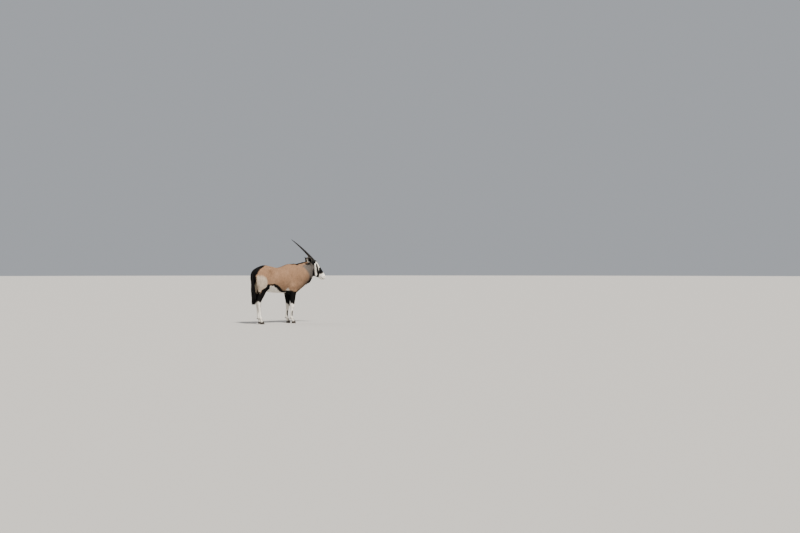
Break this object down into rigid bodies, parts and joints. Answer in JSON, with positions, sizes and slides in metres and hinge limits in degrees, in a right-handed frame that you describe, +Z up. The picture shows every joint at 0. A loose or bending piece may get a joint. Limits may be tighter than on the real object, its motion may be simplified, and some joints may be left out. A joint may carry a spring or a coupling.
{
  "type": "gemsbok",
  "caption": "Life-size gemsbok standing still, neck turned to its right, long ringed horns laid back and a black tail hanging to its hocks",
  "frame": {"origin": "on the floor, under the middle of the whole animal's bounding box", "axes": "+Z up; the body faces -Y; its left side is +X"},
  "size_m": [0.5346, 1.6076, 1.7091],
  "materials": {
    "fawn_coat": "short fawn coat with black and white marks",
    "face_coat": "short white face coat with black marks",
    "leg_coat": "short black and white leg coat",
    "black_hair": "long black hair",
    "ear_coat": "short pale grey coat with a dark rim",
    "horn": "dark ringed horn, smooth at the tip",
    "hoof": "dark hoof horn",
    "eye": "dark wet eye"
  },
  "bodies": {
    "root": {"torso": "fawn_coat", "neck": "fawn_coat", "head": "face_coat", "tail": "black_hair", "horn_right": "horn", "ear_right": "ear_coat", "eye_right": "eye", "horn_left": "horn", "ear_left": "ear_coat", "eye_left": "eye", "leg_fore_right": "leg_coat", "hoof_fore_right_outer": "hoof", "hoof_fore_right_inner": "hoof", "leg_fore_left": "leg_coat", "hoof_fore_left_outer": "hoof", "hoof_fore_left_inner": "hoof", "leg_hind_right": "leg_coat", "hoof_hind_right_outer": "hoof", "hoof_hind_right_inner": "hoof", "leg_hind_left": "leg_coat", "hoof_hind_left_outer": "hoof", "hoof_hind_left_inner": "hoof"}
  },
  "joints": []
}
